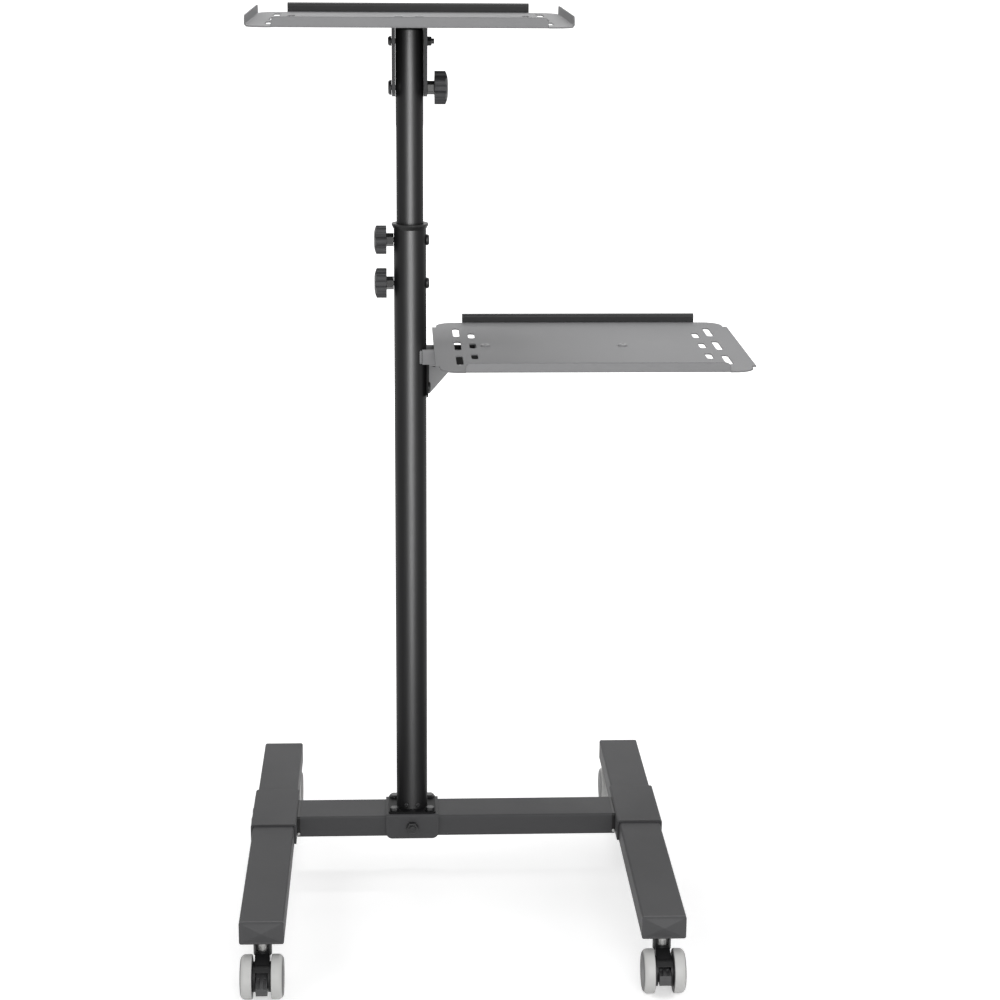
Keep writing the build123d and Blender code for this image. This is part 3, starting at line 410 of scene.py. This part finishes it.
def rounded_rectangle(half_y, low_z, high_z, radius, steps=5):
    """Points (y, z) of a rounded rectangle."""
    points = []
    corners = ((1, high_z - radius), (-1, high_z - radius), (-1, low_z + radius), (1, low_z + radius))
    for quarter, (side, centre_z) in enumerate(corners):
        for step in range(steps + 1):
            angle = pi / 2 * (quarter + step / steps)
            points.append((side * (half_y - radius) + radius * cos(angle), centre_z + radius * sin(angle)))
    return points


# A screw head's outline from its rim to the floor of its recess: shares of its radius and of its height
HEAD_PROFILE_SHARES = (
    (1.0, 0.0), (1.0, 0.45), (0.9, 0.75), (0.7, 0.95), (0.45, 1.0), (0.35, 0.55), (0.12, 0.5)
)


def round_head(name, centre, radius, height, body, slot, steps=20):
    """A small domed screw head that faces the front, with a round recess."""
    mesh = bmesh.new()
    rings = []
    for share, rise in HEAD_PROFILE_SHARES:
        ring = []
        for k in range(steps):
            angle = 2 * pi * k / steps
            offset = Vector((radius * share * cos(angle), -height * rise, radius * share * sin(angle)))
            ring.append(mesh.verts.new(centre + offset))
        rings.append(ring)
    bridge(mesh, rings)
    mesh.faces.new(rings[0])
    mesh.faces.new(rings[-1])
    return finished(name, mesh, body, slot)


# Dark liners round the crossbar's end blocks, each held by a small screw at the front
BAR_HALF_WIDTH = 28.0
BAR_TOP = 91.0
BAR_BOTTOM = 64.0
BAR_WALL = 1.5
BLOCK_BOTTOM = 72.5
LINER_START = 193.85
LINER_END = 197.25
LINER_BELOW_TOP = 0.1
LINER_CORNER = 2.5
LINER_HOLE_CORNER = 0.2
LINER_CLEARANCE = 0.05
LINER_SCREW_Z = 68.6
LINER_SCREW_RADIUS = 1.9 * MM
LINER_SCREW_HEIGHT = 1.2 * MM
outer_loop = rounded_rectangle(BAR_HALF_WIDTH, BAR_BOTTOM, BAR_TOP - LINER_BELOW_TOP, LINER_CORNER)
hole_half = BAR_HALF_WIDTH - BAR_WALL + LINER_CLEARANCE
hole_top = BAR_TOP - BAR_WALL + LINER_CLEARANCE
inner_loop = rounded_rectangle(hole_half, BLOCK_BOTTOM, hole_top, LINER_HOLE_CORNER)
for side, sign in (("left", -1), ("right", 1)):
    near, far = (CROSSBAR_OFFSET + sign * reach for reach in (LINER_START, LINER_END))
    loops = ((near, outer_loop), (far, outer_loop), (far, inner_loop), (near, inner_loop))
    rings = [[mast_point(x, y, z) for y, z in loop] for x, loop in loops]
    skinned(f"bar_liner_{side}", rings, "base", "bush_plastic")
    middle = mast_point((near + far) / 2, -BAR_HALF_WIDTH, LINER_SCREW_Z)
    screw = f"bar_liner_screw_{side}"
    round_head(screw, middle, LINER_SCREW_RADIUS, LINER_SCREW_HEIGHT, "base", "zinc_steel")


# Camera: where the photograph was taken from
CAMERA_PLACE = mast_point(-16.3, -2620.4, 1195.4)
CAMERA_YAW = 0.0472
CAMERA_PITCH = 0.2633
CAMERA_ROLL = 0.007
FOCAL_PIXELS = 2250.0
PHOTO_PIXELS = 1000.0
SENSOR = 36.0
CLIP_END = 200.0

level_right = Vector((cos(CAMERA_YAW), -sin(CAMERA_YAW), 0))
forward = Vector(
    (sin(CAMERA_YAW) * cos(CAMERA_PITCH), cos(CAMERA_YAW) * cos(CAMERA_PITCH), -sin(CAMERA_PITCH))
)
level_up = level_right.cross(forward)
right = level_right * cos(CAMERA_ROLL) + level_up * sin(CAMERA_ROLL)
up = level_up * cos(CAMERA_ROLL) - level_right * sin(CAMERA_ROLL)

camera_data = bpy.data.cameras.new("camera")
camera_data.sensor_width = SENSOR
camera_data.lens = FOCAL_PIXELS / PHOTO_PIXELS * SENSOR
camera_data.clip_end = CLIP_END
camera = bpy.data.objects.new("camera", camera_data)
bpy.context.scene.collection.objects.link(camera)
turn = Matrix((right, up, -forward)).transposed()
camera.matrix_world = Matrix.Translation(CAMERA_PLACE) @ turn.to_4x4()
bpy.context.scene.camera = camera


# Lights
def area_light(name, place, target, width, height, watts):
    data = bpy.data.lights.new(name, "AREA")
    data.shape = "RECTANGLE"
    data.size = width
    data.size_y = height
    data.energy = watts
    light = bpy.data.objects.new(name, data)
    bpy.context.scene.collection.objects.link(light)
    light.location = place
    light.rotation_euler = (Vector(target) - Vector(place)).to_track_quat("-Z", "Y").to_euler()
    light.visible_camera = False
    return light


TARGET = (0.0, 0.0, 0.55)
# Each soft light's place, width, height and watts
SOFT_LIGHTS = {
    "front_softbox": ((0.5, -3.6, 1.5), 1.5, 2.4, 55.0),
    "key_left": ((-3.0, -1.6, 3.0), 1.8, 1.8, 26.0),
    "fill_right": ((3.2, -1.2, 2.4), 1.8, 1.8, 16.0),
    "top": ((0.0, 0.6, 3.6), 1.0, 1.0, 26.0),
    "back": ((0.4, 3.4, 2.6), 2.5, 1.8, 16.0),
}
for name, (place, width, height, watts) in SOFT_LIGHTS.items():
    area_light(name, place, TARGET, width, height, watts)

# A strip that shows only in the gloss of the tubes
STRIP_HEIGHT = 750.0
STRIP_ASIDE = 55.0
STRIP_BEFORE = 999.0
strip_place = mast_point(STRIP_ASIDE, -STRIP_BEFORE, STRIP_HEIGHT)
strip = area_light("gloss_strip", strip_place, mast_point(0, 0, STRIP_HEIGHT), 0.34, 1.5, 112.0)
strip.visible_diffuse = False
tubes = bpy.data.collections.new("tubes")
for name in ("lower_tube", "upper_tube"):
    tubes.objects.link(nodes[name])
strip.light_linking.receiver_collection = tubes


def seen_rays(tree_nodes, links):
    """1 for what the camera sees directly, in gloss or through glass, else 0."""
    path = tree_nodes.new("ShaderNodeLightPath")
    seen = path.outputs["Is Camera Ray"]
    for ray in ("Is Glossy Ray", "Is Transmission Ray"):
        either = tree_nodes.new("ShaderNodeMath")
        either.operation = "MAXIMUM"
        links.new(seen, either.inputs[0])
        links.new(path.outputs[ray], either.inputs[1])
        seen = either.outputs["Value"]
    return seen


# World: a soft light from all round that shows as white
WORLD_LIGHT = 0.4
world = bpy.data.worlds.new("studio")
bpy.context.scene.world = world
world.use_nodes = True
world_nodes = world.node_tree.nodes
world_links = world.node_tree.links
background = world_nodes["Background"]
background.inputs["Color"].default_value = (1.0, 1.0, 1.0, 1.0)
world_seen = seen_rays(world_nodes, world_links)
level = world_nodes.new("ShaderNodeMapRange")
level.inputs["To Min"].default_value = WORLD_LIGHT
level.inputs["To Max"].default_value = 1.0
world_links.new(world_seen, level.inputs["Value"])
world_links.new(level.outputs["Result"], background.inputs["Strength"])

# Floor: pale, with the cart's soft shadow, and white from a few steps away
FLOOR_COLOR = (0.86, 0.86, 0.86, 1.0)
FLOOR_REACH = 40.0
GLOW_NEAR = 0.5
GLOW_FAR = 1.0
GLOW_START = 0.6
GLOW_END = 3.0
floor_material = bpy.data.materials.new("floor")
floor_material.use_nodes = True
floor_nodes = floor_material.node_tree.nodes
floor_links = floor_material.node_tree.links
floor_shader = floor_nodes["Principled BSDF"]
floor_shader.inputs["Base Color"].default_value = FLOOR_COLOR
floor_shader.inputs["Roughness"].default_value = 0.9
floor_shader.inputs["Specular IOR Level"].default_value = 0.1
floor_shader.inputs["Emission Color"].default_value = (1.0, 1.0, 1.0, 1.0)
floor_seen = seen_rays(floor_nodes, floor_links)
floor_place = floor_nodes.new("ShaderNodeTexCoord")
distance = floor_nodes.new("ShaderNodeVectorMath")
distance.operation = "LENGTH"
floor_links.new(floor_place.outputs["Object"], distance.inputs[0])
fade = floor_nodes.new("ShaderNodeMapRange")
fade.inputs["From Min"].default_value = GLOW_START
fade.inputs["From Max"].default_value = GLOW_END
fade.inputs["To Min"].default_value = GLOW_NEAR
fade.inputs["To Max"].default_value = GLOW_FAR
floor_links.new(distance.outputs["Value"], fade.inputs["Value"])
glow = floor_nodes.new("ShaderNodeMath")
glow.operation = "MULTIPLY"
floor_links.new(floor_seen, glow.inputs[0])
floor_links.new(fade.outputs["Result"], glow.inputs[1])
floor_links.new(glow.outputs["Value"], floor_shader.inputs["Emission Strength"])

floor_mesh = bpy.data.meshes.new("floor")
floor_corners = [(x * FLOOR_REACH, y * FLOOR_REACH, 0) for x, y in ((-1, -1), (1, -1), (1, 1), (-1, 1))]
floor_mesh.from_pydata(floor_corners, [], [(0, 1, 2, 3)])
floor = bpy.data.objects.new("floor", floor_mesh)
bpy.context.scene.collection.objects.link(floor)
floor.data.materials.append(floor_material)

bpy.context.scene.view_settings.view_transform = "Standard"
